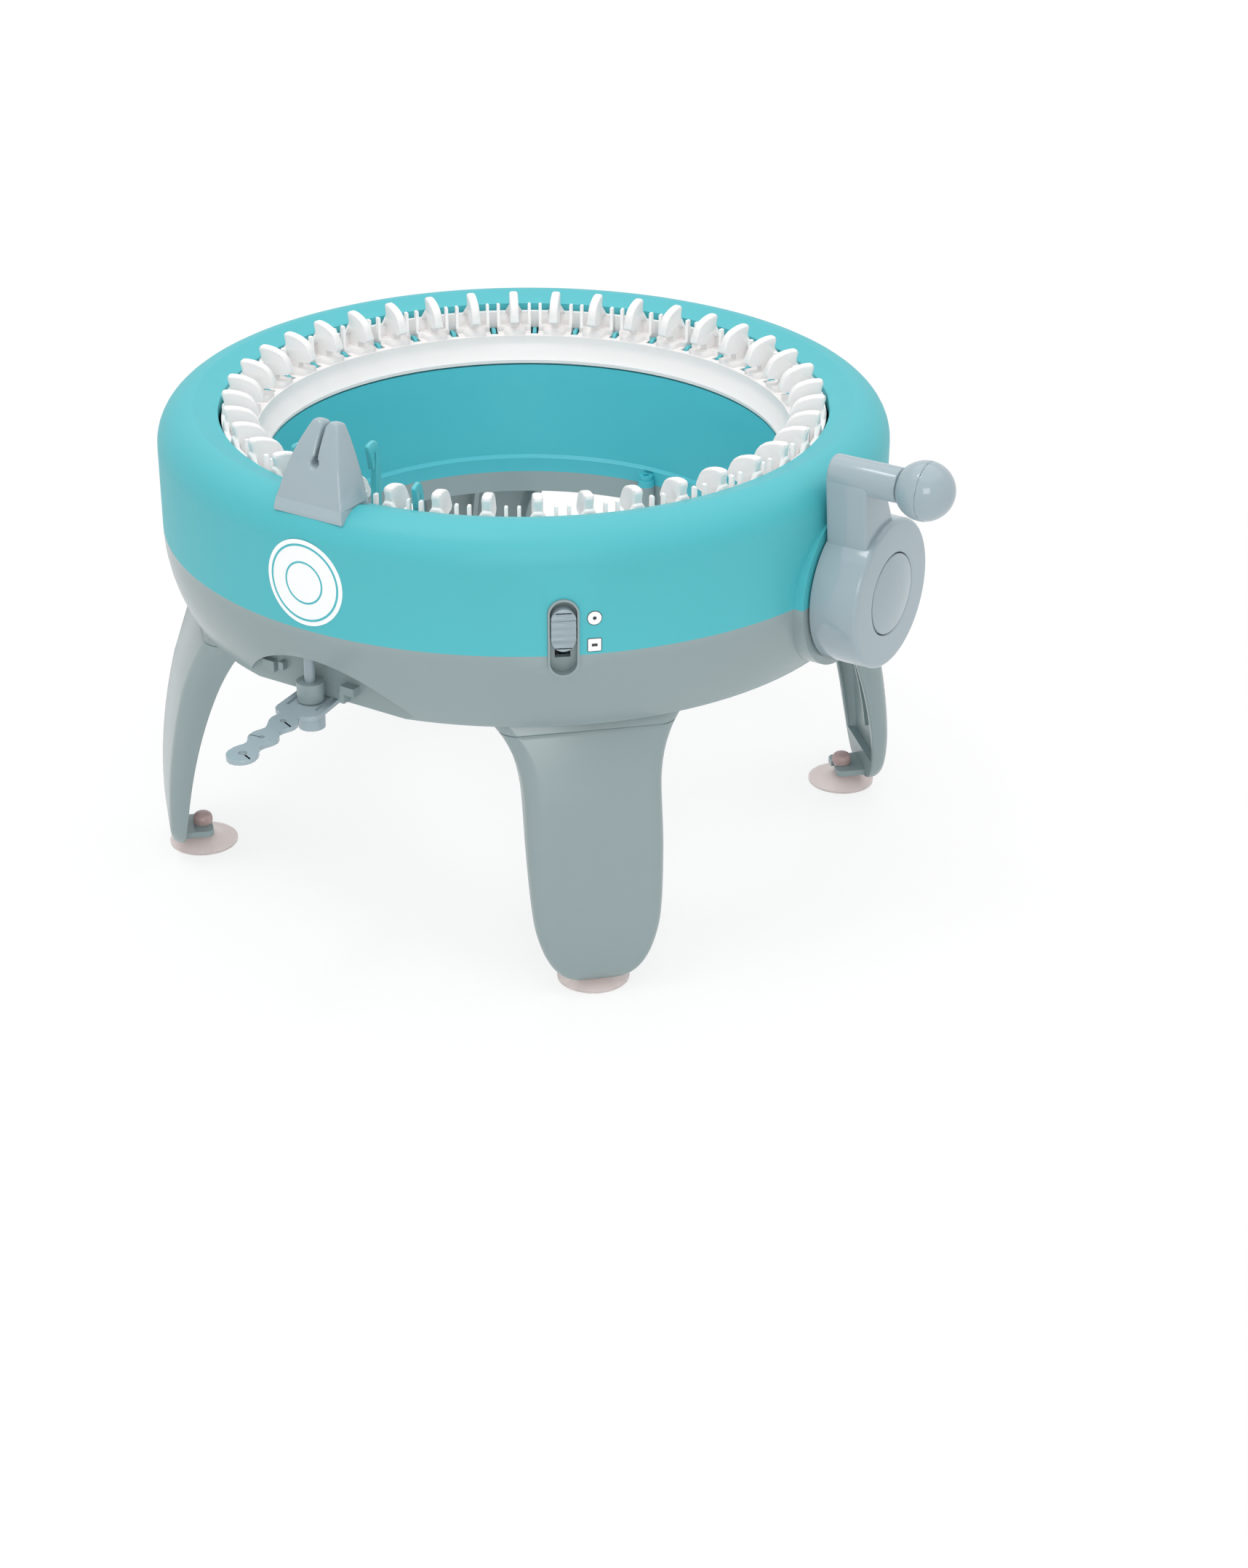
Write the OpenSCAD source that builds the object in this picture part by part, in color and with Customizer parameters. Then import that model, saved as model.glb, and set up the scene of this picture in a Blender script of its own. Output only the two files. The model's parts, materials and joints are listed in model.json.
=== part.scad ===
// Round knitting loom: a crank turns a ring of needles past a yarn feeder.
// Millimetres. The origin is on the ring's axis at floor level, with +Z up.
// The legs stand a quarter turn apart, the front one close to -Y.

/* [Needle ring] */
// Number of needles round the ring
needle_count = 40; // [32:4:44]
// Radius of the circle that the backs of the needles run on
needle_r = 86; // [80:0.5:94]
// Width of one needle, along the ring
needle_w = 2; // [1.6:0.1:2.4]
// Depth of one needle's stem, across the ring
needle_d = 3; // [2.4:0.1:3.4]
// Length of one needle, foot to top of the hook
needle_len = 40; // [37:0.5:41]
// Height that the cam lifts a needle
needle_lift = 26; // [18:0.5:27]
// Thickness of a fin between two needles
fin_t = 2.9; // [2:0.1:4]
// Height of a fin above the ring's deck
fin_h = 11.1; // [8:0.1:13]
// How far a fin reaches inwards from the ring's rim
fin_reach = 11.4; // [9:0.1:12.5]
// Width of the notch in front of each needle
notch_w = 6.5; // [5:0.1:8]
// Radial width of the funnel inside the needles
funnel_w = 5.4; // [4:0.1:7]

/* [Housing] */
// Height of the legs, floor to the underside of the base
leg_h = 84; // [70:1:110]
// Height of the base, from its underside to the seam
base_h = 25.7; // [24:0.1:30]
// Height of the top housing, from the seam to its inner lip
cover_h = 34.8; // [33:0.1:42]
// Width of the top housing, from its inner lip to its outer wall
cover_w = 19; // [17:0.5:26]
// Radius of the shoulder round the top of the housing
shoulder_r = 11.5; // [6:0.5:14]
// Wall of the two housings
wall = 2.5; // [1.8:0.1:3]
// How far the base draws in towards its underside
base_draw = 7; // [4:0.5:8]
// Wall of the inner sleeve
sleeve_wall = 2; // [1.5:0.1:2.4]
// How far the inner sleeve narrows from its top to its ledge
sleeve_draw = 5.6; // [3:0.1:7]

/* [Legs] */
// Width of a leg
leg_w = 41; // [34:1:48]
// Width of the flare at the top of a leg
flare_w = 59; // [50:1:64]
// Wall of a leg's channel
leg_wall = 2.6; // [2:0.1:3.5]
// Radius of a suction cup
cup_r = 11; // [9:0.5:13]

/* [Crank] */
// Number of teeth on the crown gear
crown_teeth = 80; // [72:4:88]
// Number of teeth on the pinion
pinion_teeth = 10; // [9:1:11]
// Radius of the crank's hub
hub_r = 23; // [20:0.5:26]
// Depth of the crank's hub
hub_d = 15.5; // [12:0.1:18]
// Throw of the crank, shaft to handle
crank_throw = 41.3; // [37:0.1:46]
// Lean of the crank at rest, in degrees about its shaft
crank_lean = 16; // [-90:1:90]
// Diameter of the handle
handle_dia = 10.4; // [9:0.1:12]
// Diameter of the ball knob
knob_dia = 17.6; // [15:0.1:22]
// Diameter of the crank shaft
shaft_dia = 8; // [6:0.5:10]

/* [Yarn feeder] */
// Width of the feeder's foot
feeder_w = 24; // [20:0.5:28]
// Depth of the feeder's foot
feeder_d = 13.6; // [11:0.1:15]
// Height of the feeder above the lip
feeder_h = 25; // [20:0.5:30]
// Diameter of the yarn hole in the feeder
yarn_hole_dia = 2.6; // [2:0.1:3.5]

/* [Selector] */
// Width of the selector's slot
selector_w = 7.8; // [7:0.1:10]
// Height of the selector's slot
selector_h = 22.7; // [21:0.1:25]
// Travel of the selector's button
selector_travel = 6.5; // [4:0.5:7]

/* [Tensioner] */
// Length of the tension arm, pivot to tip
arm_len = 41; // [32:0.5:46]
// Thickness of the tension arm
arm_t = 1.8; // [1.4:0.1:2.4]
// Diameter of the tension arm's pivot pin
pivot_dia = 3.3; // [2.8:0.1:4]

/* [Clearances] */
// Gap between the turning ring and what stands still
run_gap = 0.4; // [0.3:0.05:0.6]
// Gap round a sliding piece
slide_gap = 0.25; // [0.2:0.05:0.4]
// Radial gap round a shaft
shaft_gap = 0.05; // [0.02:0.01:0.08]
// Gap between seated pieces that do not move
seat_gap = 0.05; // [0.02:0.01:0.1]

/* [Hidden] */
$fn = 96;

teal = [0.38, 0.73, 0.76];
pale_grey = [0.64, 0.70, 0.72];
white = [0.95, 0.95, 0.95];
steel = [0.75, 0.76, 0.78];
maroon = [0.24, 0.08, 0.10];
clear_pink = [0.78, 0.70, 0.69];

// A small overlap that makes joined solids and clean cuts
bite = 0.2;

// Places round the axis, in degrees
crank_az = -45;
feeder_az = -135;
selector_az = -96;
pivot_az = -137.4;
leg_turn = -1.1;
leg_az = [for (a = [-90:90:180]) a + leg_turn];

// Heights
base_z = leg_h;
seam_z = base_z + base_h;
lip_z = seam_z + cover_h;
crest_h = 2.5;
crest_z = lip_z + crest_h;
deck_z = lip_z - 6;
notch_z = deck_z - 1.8;
crease_z = deck_z - 5.7;
mouth_z = deck_z - 9.2;
crank_z = seam_z;

// Radii
needle_pitch = 360 / needle_count;
mouth_r = needle_r - funnel_w;
drum_in_r = needle_r - 2.4;
slot_r = needle_r - slide_gap;
drum_out_r = needle_r + needle_d + 2.5;
rim_r = drum_out_r + 2.5;
rim_t = 1.5;
rim_h = 4;
band_r = needle_r - 1.6;
lip_r = rim_r + 1;
body_r = lip_r + cover_w;
sleeve_r = mouth_r - sleeve_draw;

// The base's bowl is an arc that leaves the seam upright
bowl_r = (base_h * base_h + base_draw * base_draw) / (2 * base_draw);
foot_edge_r = body_r - base_draw;

// Legs, screwed up into the base
leg_plate = 3;
leg_screw_r = foot_edge_r - 10;
leg_screw_y = 12;
leg_bottom_z = 3.4;
leg_out_r = foot_edge_r + 12.5;
leg_tuck = 1.2;
leg_depth_top = 18;
leg_toe_t = 4.6;
toe_draw = 3;
toe_h = 9;
shelf_z = leg_bottom_z + 0.8;
shelf_t = 2;
leg_round_h = 18;
flare_h = 24;
leg_rib_t = 1.6;
leg_rib_set = 2.5;
cup_mid_r = foot_edge_r + 1.3;
neck_r = 2.3;

// The track that the ring runs on
track_h = 5.8;
track_z = base_z + wall + track_h;
gear_z = track_z + run_gap;
gear_t = 2.2;
drum_z = gear_z + gear_t;

// Gears
gear_r = drum_out_r + 6;
gear_pitch = 2 * PI * gear_r / crown_teeth;
pinion_r = pinion_teeth * gear_pitch / (2 * PI);
backlash = 0.5;
tooth_half = gear_pitch / 4 - backlash / 4;
pressure = 20;
crown_add = 1.5;
pinion_add = 1.7;
pinion_ded = 2.1;
tooth_in_r = gear_r - 3.5;
tooth_out_r = gear_r + 3.5;
mesh_z = crank_z - pinion_r - 0.1;
pinion_face = 6;

// Sleeve, standing on the base's inner collar
collar_wall = 3;
collar_z = base_z + 7.2;
ledge_z = collar_z + 5.8;
sleeve_top_z = mouth_z - 1.4 - run_gap;
ear_az = [45:90:315];
ear_mid_r = sleeve_r - 1.6;
ear_r = 2.8;
ear_t = 2.4;
screw_boss_h = 7;
screw_boss_r = 3.4;
screw_r = 1.3;
screw_head_r = 2.3;
screw_head_t = 1.4;
screw_grip = 4.5;

// Crank
collar_r = hub_r + 2.4;
hub_back_r = body_r + 0.8;
hub_face_r = hub_back_r + hub_d;
bush_r = shaft_dia / 2 + 3;
bush_in_r = body_r - 11;
boss_proud = 0.2;
cap_r = 12.8;
cap_t = 2.6;
cap_gap = 0.35;
arm_d = hub_d - 2;
arm_w_top = handle_dia + 0.8;
arm_w_foot = 20.5;
spindle_dia = 5;
spindle_head_dia = 7.4;
knob_x = hub_face_r + 14.3;
knob_gap = 0.4;
handle_z = crank_z + crank_throw;
handle_end_r = knob_x - sqrt(knob_dia * knob_dia - handle_dia * handle_dia) / 2;
spindle_end_r = knob_x + 3;
spindle_head_t = 2;
knob_split_r = spindle_end_r - spindle_head_t - 0.3;

// Yarn feeder
feeder_r = lip_r + 2.2;
feeder_top = 4.2;
feeder_screw_r = feeder_r + feeder_d * 0.45;
yarn_hole_z = lip_z + feeder_h * 0.56;
yarn_slot_w = 1;

// Selector
selector_mid_z = seam_z + 5.55;
bezel_w = 0.6;
button_w = selector_w - 0.6;
button_h = 13;
button_mid_z = selector_mid_z + 2.7;
stem_w = 4;
stem_h = 6;
bezel_out_r = body_r + 0.7;
recess_r = body_r - wall;
bezel_in_r = recess_r - 2;

// Tensioner
alcove_r = 38;
alcove_top_z = base_z + 16;
alcove_back_r = tooth_out_r + 2.6;
alcove_wall = 1.5;
block_d = 2.6;
// Place across, height above the base's edge, width and height of each block on the alcove's back
blocks = [[-17.6, 3.8, 4.6, 3.4], [-12.6, 5.4, 1.8, 2.4], [12.4, 3.8, 5, 2.6], [10.4, 0.8, 1.6, 3.6]];
boss_r = 4.05;
pivot_r = alcove_back_r + boss_r + 0.2;
plate_z = base_z - arm_t - slide_gap;
boss_top_z = base_z + 6;
pin_top_z = base_z + 13.5;
pin_foot_z = base_z - 8.8;
arm_turn = 7.5;

// Needles that the cam has lifted: the place of the first, and each one's share of the full lift
first_raised = floor((feeder_az + 360) / needle_pitch) - 2;
raised_share = [0.63, 1, 0.885, 0.483];
marker_place = floor(157.5 / needle_pitch);
hook_d = 6;
butt_r = drum_out_r + 1.4;
butt_h = 4;
butt_up = 4;
foot_gap = 3;
needle_z = drum_z + foot_gap;
cam_r = butt_r + run_gap;
cam_span = 74;
cam_z = mesh_z + crown_add + run_gap + 0.1;

// Points of a curve with one control point
function curve(a, b, c, n) =
    [for (i = [0:n]) let (t = i / n) (1 - t) * (1 - t) * a + 2 * (1 - t) * t * b + t * t * c];

// Points of an arc
function arc(x, y, r, a0, a1, n) =
    [for (i = [0:n]) let (a = a0 + (a1 - a0) * i / n) [x + r * cos(a), y + r * sin(a)]];

function reversed(v) = [for (i = [len(v) - 1:-1:0]) v[i]];

// Puts a shape at an angle round the axis
module at(az) {
    rotate([0, 0, az]) children();
}

// Stands a radial outline, drawn as [radius, height], on edge with a thickness
module slab(t) {
    rotate([90, 0, 0]) linear_extrude(t, center = true) children();
}

// Extrudes an outline, drawn as [across, height], outwards from one radius to another
module outward(r0, r1) {
    translate([r0, 0, 0]) rotate([90, 0, 90]) linear_extrude(r1 - r0) children();
}

// A cylinder that points outwards from one radius to another
module rod(r0, r1, z, r) {
    translate([r0, 0, z]) rotate([0, 90, 0]) cylinder(h = r1 - r0, r = r);
}

// A washer or tube
module tube(r_in, r_out, z0, z1) {
    translate([0, 0, z0]) difference() {
        cylinder(h = z1 - z0, r = r_out);
        translate([0, 0, -1]) cylinder(h = z1 - z0 + 2, r = r_in);
    }
}

// A slot outline with round ends, upright, at the origin
module pill(w, h) {
    union() {
        square([w, h - w], center = true);
        for (s = [-1, 1]) translate([0, s * (h - w) / 2]) circle(d = w);
    }
}

// A pan-head screw that points up, with its seat at the origin
module screw(len) {
    union() {
        cylinder(h = len, r = screw_r);
        translate([0, 0, -screw_head_t]) difference() {
            cylinder(h = screw_head_t, r = screw_head_r);
            for (a = [0, 90]) rotate([0, 0, a]) translate([-1.4, -0.3, -1]) cube([2.8, 0.6, 1.7]);
        }
    }
}

// Top housing: a ring-shaped shell with a round shoulder and a dished top
module cover_outline(inset) {
    dish_r = body_r - shoulder_r;
    difference() {
        union() {
            translate([0, seam_z]) square([body_r - inset, crest_z - shoulder_r - seam_z]);
            translate([0, seam_z]) square([dish_r, crest_z - inset - seam_z]);
            translate([dish_r, crest_z - shoulder_r]) circle(shoulder_r - inset);
        }
        polygon([[-1, lip_z - inset], [lip_r, lip_z - inset], [dish_r, crest_z - inset],
                 [dish_r, crest_z + 1], [-1, crest_z + 1]]);
    }
}

module cover_shell() {
    skirt_h = 4;
    skirt_t = 1.6;
    rotate_extrude() union() {
        difference() {
            cover_outline(0);
            cover_outline(wall);
            translate([0, seam_z - 1]) square([body_r - wall, 2]);
            translate([-1, seam_z - 1]) square([lip_r + 1, cover_h + crest_h + 2]);
        }
        translate([lip_r, lip_z - skirt_h]) square([skirt_t, skirt_h]);
    }
}

// The space on one side of the seam
module above_seam() {
    translate([0, 0, seam_z]) cylinder(h = 2 * cover_h, r = 2 * body_r);
}

module below_seam() {
    translate([0, 0, base_z - 1]) cylinder(h = base_h + 1, r = 2 * body_r);
}

// The boss on the wall that holds the crank's bush, whole
module crank_boss() {
    at(crank_az) {
        rod(body_r - 9, body_r + boss_proud, crank_z, collar_r);
        rod(bush_in_r, body_r - 8, crank_z, bush_r + 3);
    }
}

module crank_bore() {
    at(crank_az) rod(bush_in_r - 1, hub_face_r, crank_z, bush_r + seat_gap);
}

module selector_window() {
    at(selector_az) outward(bezel_in_r - 1, bezel_out_r + 1)
        translate([0, selector_mid_z]) pill(selector_w + 2 * bezel_w + 2 * seat_gap,
                                            selector_h + 2 * bezel_w + 2 * seat_gap);
}

module top_housing() {
    color(teal) difference() {
        union() {
            cover_shell();
            intersection() {
                crank_boss();
                above_seam();
            }
        }
        crank_bore();
        selector_window();
        at(feeder_az) translate([feeder_screw_r, 0, lip_z - wall - 1])
            cylinder(h = 3 * wall, r = screw_r + seat_gap);
    }
}

// Base: a ring-shaped bowl with the ring's track, an inner collar and the tensioner's alcove
module base_outline(inset) {
    intersection() {
        translate([body_r - bowl_r, seam_z]) circle(bowl_r - inset);
        translate([sleeve_r, base_z + inset]) square([body_r, base_h - inset]);
    }
}

module base_shell() {
    guide_t = 0.8;
    rotate_extrude() union() {
        difference() {
            base_outline(0);
            base_outline(wall);
        }
        translate([sleeve_r, base_z]) square([collar_wall, collar_z - base_z]);
        translate([drum_in_r + 0.6, base_z])
            square([drum_out_r - drum_in_r - 1, track_z - base_z]);
        translate([drum_in_r - run_gap - guide_t, base_z]) square([guide_t, drum_z - base_z]);
    }
}

module alcove(grow) {
    at(feeder_az) intersection() {
        rod(alcove_back_r - grow, body_r + 20, alcove_top_z - alcove_r, alcove_r + grow);
        translate([0, -2 * alcove_r, base_z - 1]) cube([2 * body_r, 4 * alcove_r, base_h]);
    }
}

module base_housing() {
    color(pale_grey) difference() {
        union() {
            difference() {
                union() {
                    base_shell();
                    intersection() {
                        alcove(alcove_wall);
                        rotate_extrude() base_outline(bite);
                    }
                    intersection() {
                        crank_boss();
                        below_seam();
                    }
                    for (a = leg_az) at(a) for (s = [-1, 1])
                        translate([leg_screw_r, s * leg_screw_y, base_z])
                            cylinder(h = screw_boss_h, r = screw_boss_r);
                    for (a = ear_az) at(a) translate([ear_mid_r, 0, base_z])
                        cylinder(h = collar_z - base_z, r = ear_r);
                }
                alcove(0);
            }
            // The tensioner's boss and the web that joins it to the alcove's back
            at(pivot_az) translate([pivot_r, 0, plate_z + arm_t + slide_gap])
                cylinder(h = boss_top_z - plate_z - arm_t - slide_gap, r = boss_r);
            at(pivot_az) translate([alcove_back_r - alcove_wall / 2, -boss_r / 2, base_z])
                cube([boss_r, boss_r, boss_top_z - base_z]);
            for (b = blocks) at(pivot_az)
                translate([alcove_back_r - alcove_wall / 2, b[0] - b[2] / 2, base_z + b[1]])
                    cube([alcove_wall / 2 + block_d, b[2], b[3]]);
        }
        crank_bore();
        selector_window();
        at(pivot_az) translate([pivot_r, 0, plate_z])
            cylinder(h = base_h, r = pivot_dia / 2 + seat_gap);
        for (a = leg_az) at(a) for (s = [-1, 1])
            translate([leg_screw_r, s * leg_screw_y, base_z - 1])
                cylinder(h = screw_boss_h, r = screw_r + seat_gap);
        for (a = ear_az) at(a) translate([ear_mid_r, 0, base_z + 1])
            cylinder(h = collar_z, r = screw_r + seat_gap);
    }
}

// Inner sleeve: a cone that lines the opening, with a ledge and four screw ears
module inner_sleeve() {
    top_r = mouth_r + 0.3;
    color(teal) difference() {
        union() {
            rotate_extrude() polygon([
                [sleeve_r, collar_z], [sleeve_r + sleeve_wall, collar_z],
                [sleeve_r + sleeve_wall, ledge_z - 0.6], [top_r + sleeve_wall, sleeve_top_z],
                [top_r, sleeve_top_z], [sleeve_r + 1.2, ledge_z], [sleeve_r, ledge_z - 1]]);
            for (a = ear_az) at(a) translate([ear_mid_r, 0, collar_z])
                cylinder(h = ear_t, r = ear_r);
        }
        for (a = ear_az) at(a) translate([ear_mid_r, 0, collar_z - 1])
            cylinder(h = ear_t + 2, r = screw_r + seat_gap);
        for (a = ear_az) at(a) translate([ear_mid_r, 0, collar_z + ear_t])
            cylinder(h = ledge_z - collar_z - ear_t - 1, r = screw_head_r + seat_gap);
    }
}

module sleeve_screws() {
    color(steel) for (a = ear_az) at(a)
        translate([ear_mid_r, 0, collar_z + ear_t]) rotate([180, 0, 0]) screw(ear_t + screw_grip);
}

// Lift cam: a curved wall under the top housing, with a ramp that carries the needles up.
// Its section is swept along an arc, with the ramp's height worked out at each station.
module lift_cam() {
    steps = 24;
    low_z = needle_z + butt_up - run_gap;
    wall_in = lip_r + 2;
    wall_out = wall_in + 2;
    wall_z = cam_z;
    ramp_t = low_z - cam_z - 0.3;
    top_z = lip_z - wall - seat_gap;
    function lift_at(i) = needle_lift * (1 - cos(360 * i / steps)) / 2;
    function section(z) = [
        [wall_in, wall_z], [wall_out, wall_z], [wall_out, top_z], [wall_in, top_z],
        [wall_in, z], [cam_r, z], [cam_r, z - ramp_t], [wall_in, z - ramp_t]];
    points = [for (i = [0:steps]) let (a = feeder_az - cam_span / 2 + cam_span * i / steps)
        for (p = section(low_z + lift_at(i))) [p[0] * cos(a), p[0] * sin(a), p[1]]];
    sides = [for (i = [0:steps - 1]) for (k = [0:7]) let (a = 8 * i + k, b = 8 * i + (k + 1) % 8)
        each [[a, b + 8, b], [a, a + 8, b + 8]]];
    cap = [[0, 1, 7], [1, 4, 7], [1, 2, 4], [2, 3, 4], [4, 5, 6], [4, 6, 7]];
    ends = concat(cap, [for (t = cap) [t[2], t[1], t[0]] + [8, 8, 8] * steps]);
    color(pale_grey) polyhedron(points, concat(sides, ends));
}

// Yarn feeder: a wedge with hollowed flanks, seated on the housing, with a yarn slot
module yarn_feeder() {
    foot_z = lip_z - 1;
    top_z = lip_z + feeder_h;
    half = feeder_w / 2;
    color(pale_grey) at(feeder_az) difference() {
        intersection() {
            outward(feeder_r - 1, feeder_r + feeder_d + 1) polygon(concat(
                [[-half, foot_z]],
                curve([-half, lip_z], [-half + 2.2, lip_z + feeder_h * 0.55], [-feeder_top, top_z], 10),
                curve([feeder_top, top_z], [half - 2.2, lip_z + feeder_h * 0.55], [half, lip_z], 10),
                [[half, foot_z]]));
            slab(feeder_w + 2) polygon(concat(
                [[feeder_r, foot_z], [feeder_r + feeder_d, foot_z]],
                curve([feeder_r + feeder_d, lip_z], [feeder_r + feeder_d - 2.5, lip_z + feeder_h * 0.6],
                      [feeder_r + 3.6, top_z], 10),
                [[feeder_r, top_z - 0.8]]));
        }
        rotate_extrude() cover_outline(0);
        outward(feeder_r - 2, feeder_r + feeder_d + 2) union() {
            translate([0, yarn_hole_z]) circle(d = yarn_hole_dia);
            translate([-yarn_slot_w / 2, yarn_hole_z]) square([yarn_slot_w, feeder_h]);
            polygon([[0, top_z - 2.2], [1.6, top_z + 0.1], [-1.6, top_z + 0.1]]);
        }
        translate([feeder_screw_r, 0, foot_z - 1]) cylinder(h = 10, r = screw_r + seat_gap);
    }
}

module feeder_screw() {
    color(steel) at(feeder_az) translate([feeder_screw_r, 0, crest_z - wall - 0.6])
        screw(wall + screw_grip);
}

// Crank bush: a plain bearing with a flange inside the housing
module crank_bush() {
    flange_t = 1.5;
    color(white) at(crank_az) difference() {
        union() {
            rod(bush_in_r, body_r, crank_z, bush_r);
            rod(bush_in_r - flange_t, bush_in_r, crank_z, bush_r + 2);
        }
        rod(bush_in_r - flange_t - 1, body_r + 1, crank_z, shaft_dia / 2 + shaft_gap);
    }
}

// Selector: a bezel in the wall, a ribbed button and the catch behind it
module selector_plate() {
    slot_h = stem_h + selector_travel + 2 * slide_gap;
    slot_z = button_mid_z - selector_travel / 2;
    color(pale_grey) at(selector_az) difference() {
        outward(bezel_in_r, bezel_out_r) translate([0, selector_mid_z])
            pill(selector_w + 2 * bezel_w, selector_h + 2 * bezel_w);
        outward(recess_r, bezel_out_r + 1) translate([0, selector_mid_z])
            pill(selector_w, selector_h);
        outward(bezel_in_r - 1, recess_r + 1) translate([0, slot_z])
            square([stem_w + 2 * slide_gap, slot_h], center = true);
    }
}

module selector_button() {
    ribs = 5;
    rib_step = button_h / (ribs + 1);
    button_r = body_r + 1.4;
    color(pale_grey) at(selector_az) union() {
        difference() {
            outward(recess_r + slide_gap, button_r) translate([0, button_mid_z])
                pill(button_w, button_h);
            for (i = [0:ribs - 1])
                translate([button_r + 0.5, 0, button_mid_z + (i - (ribs - 1) / 2) * rib_step])
                    rotate([90, 0, 0]) cylinder(h = selector_w, r = 1, center = true);
        }
        outward(bezel_in_r - slide_gap, recess_r + 1) translate([0, button_mid_z])
            square([stem_w, stem_h], center = true);
    }
}

module selector_catch() {
    catch_t = 2;
    color(white) at(selector_az) outward(bezel_in_r - slide_gap - catch_t, bezel_in_r - slide_gap)
        translate([0, button_mid_z]) square([stem_w + 3, stem_h + 4], center = true);
}

// Legs: curved channels with flared tops, a top plate and a foot shelf
function leg_outer(inset) = curve([foot_edge_r - leg_tuck - inset, base_z],
                                  [leg_out_r + 0.3 - inset, base_z * 0.55],
                                  [leg_out_r - inset, leg_bottom_z + toe_h + 0.1], 12);
function leg_toe(inset) = curve([leg_out_r - inset, leg_bottom_z + toe_h],
                                [leg_out_r - inset, leg_bottom_z + toe_h * 0.28],
                                [leg_out_r - toe_draw - inset, leg_bottom_z], 5);
function leg_inner() = curve([foot_edge_r - leg_depth_top, base_z],
                             [leg_out_r - 7.5, base_z * 0.643],
                             [leg_out_r - leg_toe_t, leg_bottom_z], 12);

module leg_side(inset, reach) {
    polygon(concat(leg_outer(inset), leg_toe(inset), [for (p = reversed(leg_inner())) p - [reach, 0]]));
}

module leg_face(inset) {
    half = leg_w / 2 - inset;
    flare = flare_w / 2 - inset;
    round_z = leg_bottom_z + leg_round_h;
    right = concat(
        curve([leg_w * 0.13 - inset, leg_bottom_z + inset], [leg_w * 0.37 - inset, leg_bottom_z + 0.8 + inset],
              [leg_w * 0.459 - inset, round_z], 8),
        curve([leg_w * 0.466 - inset, round_z + 2], [leg_w * 0.49 - inset, round_z + leg_round_h * 0.5],
              [half, round_z + 1.45 * leg_round_h], 4),
        curve([half, base_z - flare_h], [half, base_z - flare_h * 0.35], [flare, base_z], 8));
    polygon(concat(right, reversed([for (p = right) [-p[0], p[1]]])));
}

module leg_cavity(z0, z1) {
    intersection() {
        slab(2 * flare_w) leg_side(leg_wall, leg_out_r / 2);
        outward(leg_out_r / 4, leg_out_r * 2) leg_face(leg_wall);
        translate([0, -flare_w, z0]) cube([2 * leg_out_r, 2 * flare_w, z1 - z0]);
    }
}

module leg(az) {
    tongue_w = 13;
    tongue_r = cup_mid_r - 3;
    color(pale_grey) at(az) difference() {
        union() {
            difference() {
                intersection() {
                    slab(2 * flare_w) leg_side(0, 0);
                    outward(leg_out_r / 2, leg_out_r * 1.2) leg_face(0);
                }
                leg_cavity(leg_bottom_z + toe_h + 0.5, base_z - leg_plate);
            }
            translate([0, 0, -bite]) slab(leg_rib_t) polygon(concat(
                leg_outer(leg_wall - bite),
                [for (p = reversed(leg_inner())) if (p[1] > base_z * 0.2) p + [leg_rib_set, 0]]));
            translate([tongue_r, -tongue_w / 2, shelf_z])
                cube([leg_out_r - toe_draw - bite - tongue_r, tongue_w, shelf_t]);
        }
        translate([cup_mid_r, 0, shelf_z - 1]) cylinder(h = shelf_t + 2, r = neck_r + seat_gap);
        translate([tongue_r - 1, -neck_r * 0.8, shelf_z - 1])
            cube([cup_mid_r - tongue_r + 1, neck_r * 1.6, shelf_t + 2]);
        for (s = [-1, 1]) translate([leg_screw_r, s * leg_screw_y, base_z - leg_plate - 1])
            cylinder(h = leg_plate + 2, r = screw_r + seat_gap);
    }
}

module leg_front() { leg(leg_az[0]); }
module leg_right() { leg(leg_az[1]); }
module leg_rear() { leg(leg_az[2]); }
module leg_left() { leg(leg_az[3]); }

module leg_screws() {
    color(steel) for (a = leg_az) at(a) for (s = [-1, 1])
        translate([leg_screw_r, s * leg_screw_y, base_z - leg_plate]) screw(leg_plate + screw_grip);
}

// Suction cups: a hollow skirt, a neck through the leg's shelf and a mushroom head
module suction_cup(az) {
    head_r = 3.2;
    head_h = 4;
    head_z = shelf_z + shelf_t + seat_gap;
    dome_z = 1.6;
    color(clear_pink) at(az) translate([cup_mid_r, 0, 0]) rotate_extrude() polygon(concat(
        curve([0, dome_z], [cup_r * 0.6, dome_z * 0.8], [cup_r - 0.8, 0], 6),
        [[cup_r, 0], [cup_r, 0.6]],
        curve([cup_r, 0.6], [cup_r * 0.45, 1.8], [neck_r, shelf_z - 0.6], 8),
        [[neck_r, head_z]],
        curve([neck_r + 0.4, head_z], [head_r, head_z], [head_r, head_z + head_h * 0.4], 4),
        curve([head_r, head_z + head_h * 0.4], [head_r, head_z + head_h], [0, head_z + head_h], 6)));
}

module suction_cup_front() { suction_cup(leg_az[0]); }
module suction_cup_right() { suction_cup(leg_az[1]); }
module suction_cup_rear() { suction_cup(leg_az[2]); }
module suction_cup_left() { suction_cup(leg_az[3]); }

// Tensioner: a pivot pin with a thick foot, and a wavy arm with yarn notches
module tensioner_pin() {
    foot_top = plate_z - slide_gap;
    color(pale_grey) at(pivot_az) translate([pivot_r, 0, 0]) union() {
        translate([0, 0, pin_foot_z]) cylinder(h = foot_top - pin_foot_z, r = boss_r);
        translate([0, 0, pin_foot_z]) cylinder(h = pin_top_z - pin_foot_z, r = pivot_dia / 2);
        translate([0, 0, pin_top_z]) sphere(r = pivot_dia / 2);
    }
}

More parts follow.
